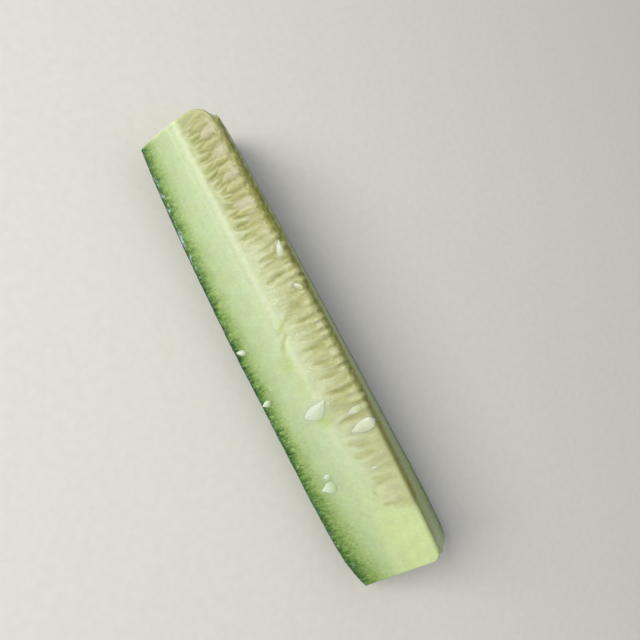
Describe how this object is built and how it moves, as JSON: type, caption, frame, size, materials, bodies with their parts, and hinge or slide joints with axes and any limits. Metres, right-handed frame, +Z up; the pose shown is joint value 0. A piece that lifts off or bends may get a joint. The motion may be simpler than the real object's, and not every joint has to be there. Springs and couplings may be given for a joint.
{
  "type": "cucumber stick",
  "caption": "Raw cucumber stick cut lengthwise: green skin below, two cut faces that meet in a ridge, seeds along both; lies on its skin.",
  "frame": {"origin": "middle of the stick on the surface that it rests on", "axes": "+X along the stick, from the seeded end to the end without seeds; +Z up, from the skin to the ridge; the front cut face looks towards -Y and up"},
  "size_m": [0.1404, 0.0353, 0.0287],
  "materials": {
    "cucumber_flesh": "satin",
    "cucumber_skin": "satin",
    "cucumber_seed": "gloss"
  },
  "bodies": {
    "root": {"cucumber_stick": "cucumber_flesh"}
  },
  "joints": []
}
